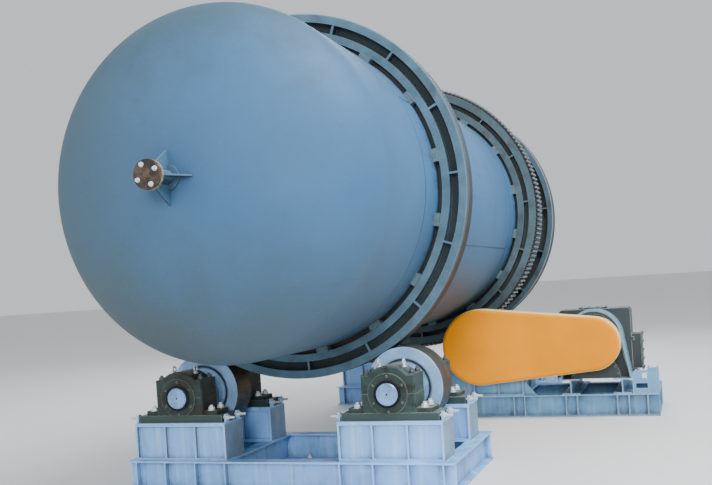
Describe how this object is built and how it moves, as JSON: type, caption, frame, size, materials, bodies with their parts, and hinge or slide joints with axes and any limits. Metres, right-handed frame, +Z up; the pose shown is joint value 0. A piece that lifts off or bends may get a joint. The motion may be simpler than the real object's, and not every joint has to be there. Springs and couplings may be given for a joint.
{
  "type": "rotary autoclave",
  "caption": "Horizontal pressure vessel with dished ends, turning in two tyres on support rollers, with girth gear, pinion, chain guard, reducer and motor",
  "frame": {"origin": "on the floor, under the vessel axis, at the middle of the front frame's front cross beam", "axes": "+Z up, +Y along the vessel axis from the front head to the rear head, +X towards the drive"},
  "size_m": [4.2565, 9.23, 3.8647],
  "materials": {
    "vessel": "satin light blue-grey paint with dirt and rust runs",
    "nozzle": "satin blue-grey paint",
    "nozzle_cover": "rusted bare steel",
    "tyre_paint": "satin light blue-grey paint, bare worn tread",
    "pad_steel": "satin blue-grey paint",
    "gear_paint": "satin blue-grey paint, greased teeth",
    "pinion_steel": "greased dark steel",
    "roller_paint": "satin pale paint, bare worn tread",
    "shaft_steel": "turned steel",
    "bearing_green": "satin dark green paint",
    "sole_green": "satin dark green paint",
    "frame_paint": "matt blue-grey paint",
    "skid_paint": "matt blue-grey paint",
    "guard_yellow": "satin yellow-orange paint",
    "reducer_paint": "satin dark blue paint",
    "motor_paint": "satin dark blue paint",
    "coupling_steel": "dark machined steel"
  },
  "bodies": {
    "frame": {"front_left_bearing_near": "bearing_green", "front_left_bearing_far": "bearing_green", "front_right_bearing_near": "bearing_green", "front_right_bearing_far": "bearing_green", "rear_left_bearing_near": "bearing_green", "rear_left_bearing_far": "bearing_green", "rear_right_bearing_near": "bearing_green", "rear_right_bearing_far": "bearing_green", "pinion_bearing_near": "bearing_green", "pinion_bearing_far": "bearing_green", "front_sole_plates": "sole_green", "rear_sole_plates": "sole_green", "pinion_sole_plates": "sole_green", "front_left_pedestals": "frame_paint", "front_right_pedestals": "frame_paint", "rear_left_pedestals": "frame_paint", "rear_right_pedestals": "frame_paint", "pinion_pedestals": "frame_paint", "front_frame": "frame_paint", "rear_frame": "frame_paint", "end_stand": "frame_paint", "guard_spacers": "frame_paint", "drive_skid": "skid_paint", "reducer_bearers": "skid_paint", "motor_stool": "skid_paint", "chain_guard": "guard_yellow", "reducer": "reducer_paint", "drive_motor": "motor_paint", "motor_coupling": "coupling_steel"},
    "drum": {"shell": "vessel", "front_head": "vessel", "rear_head": "vessel", "front_nozzle": "nozzle", "rear_nozzle": "nozzle", "front_nozzle_cover": "nozzle_cover", "rear_nozzle_cover": "nozzle_cover", "front_tyre": "tyre_paint", "rear_tyre": "tyre_paint", "front_tyre_pads": "pad_steel", "rear_tyre_pads": "pad_steel", "gear_pads": "pad_steel", "girth_gear": "gear_paint"},
    "pinion": {"pinion": "pinion_steel", "pinion_shaft": "shaft_steel"},
    "front_left_roller_set": {"front_left_roller": "roller_paint", "front_left_shaft": "shaft_steel"},
    "front_right_roller_set": {"front_right_roller": "roller_paint", "front_right_shaft": "shaft_steel"},
    "rear_left_roller_set": {"rear_left_roller": "roller_paint", "rear_left_shaft": "shaft_steel"},
    "rear_right_roller_set": {"rear_right_roller": "roller_paint", "rear_right_shaft": "shaft_steel"}
  },
  "joints": [
    {"name": "drum_spin", "type": "hinge", "parent": "frame", "child": "drum", "pos_m": [0, 0.551, 2.33027], "axis": [0, 1, 0], "continuous": true},
    {"name": "pinion_spin", "type": "hinge", "parent": "frame", "child": "pinion", "pos_m": [0.87862, 3.998, 0.80845], "axis": [0, 1, 0], "continuous": true},
    {"name": "front_left_roller_spin", "type": "hinge", "parent": "frame", "child": "front_left_roller_set", "pos_m": [-0.89995, 0.551, 0.748], "axis": [0, 1, 0], "continuous": true},
    {"name": "front_right_roller_spin", "type": "hinge", "parent": "frame", "child": "front_right_roller_set", "pos_m": [0.89995, 0.551, 0.748], "axis": [0, 1, 0], "continuous": true},
    {"name": "rear_left_roller_spin", "type": "hinge", "parent": "frame", "child": "rear_left_roller_set", "pos_m": [-0.89995, 5.365, 0.748], "axis": [0, 1, 0], "continuous": true},
    {"name": "rear_right_roller_spin", "type": "hinge", "parent": "frame", "child": "rear_right_roller_set", "pos_m": [0.89995, 5.365, 0.748], "axis": [0, 1, 0], "continuous": true}
  ],
  "couplings": [
    {"joint": "pinion_spin", "follows": "drum_spin", "ratio": -6.3448},
    {"joint": "front_left_roller_spin", "follows": "drum_spin", "ratio": -4.6875},
    {"joint": "front_right_roller_spin", "follows": "drum_spin", "ratio": -4.6875},
    {"joint": "rear_left_roller_spin", "follows": "drum_spin", "ratio": -4.6875},
    {"joint": "rear_right_roller_spin", "follows": "drum_spin", "ratio": -4.6875}
  ]
}
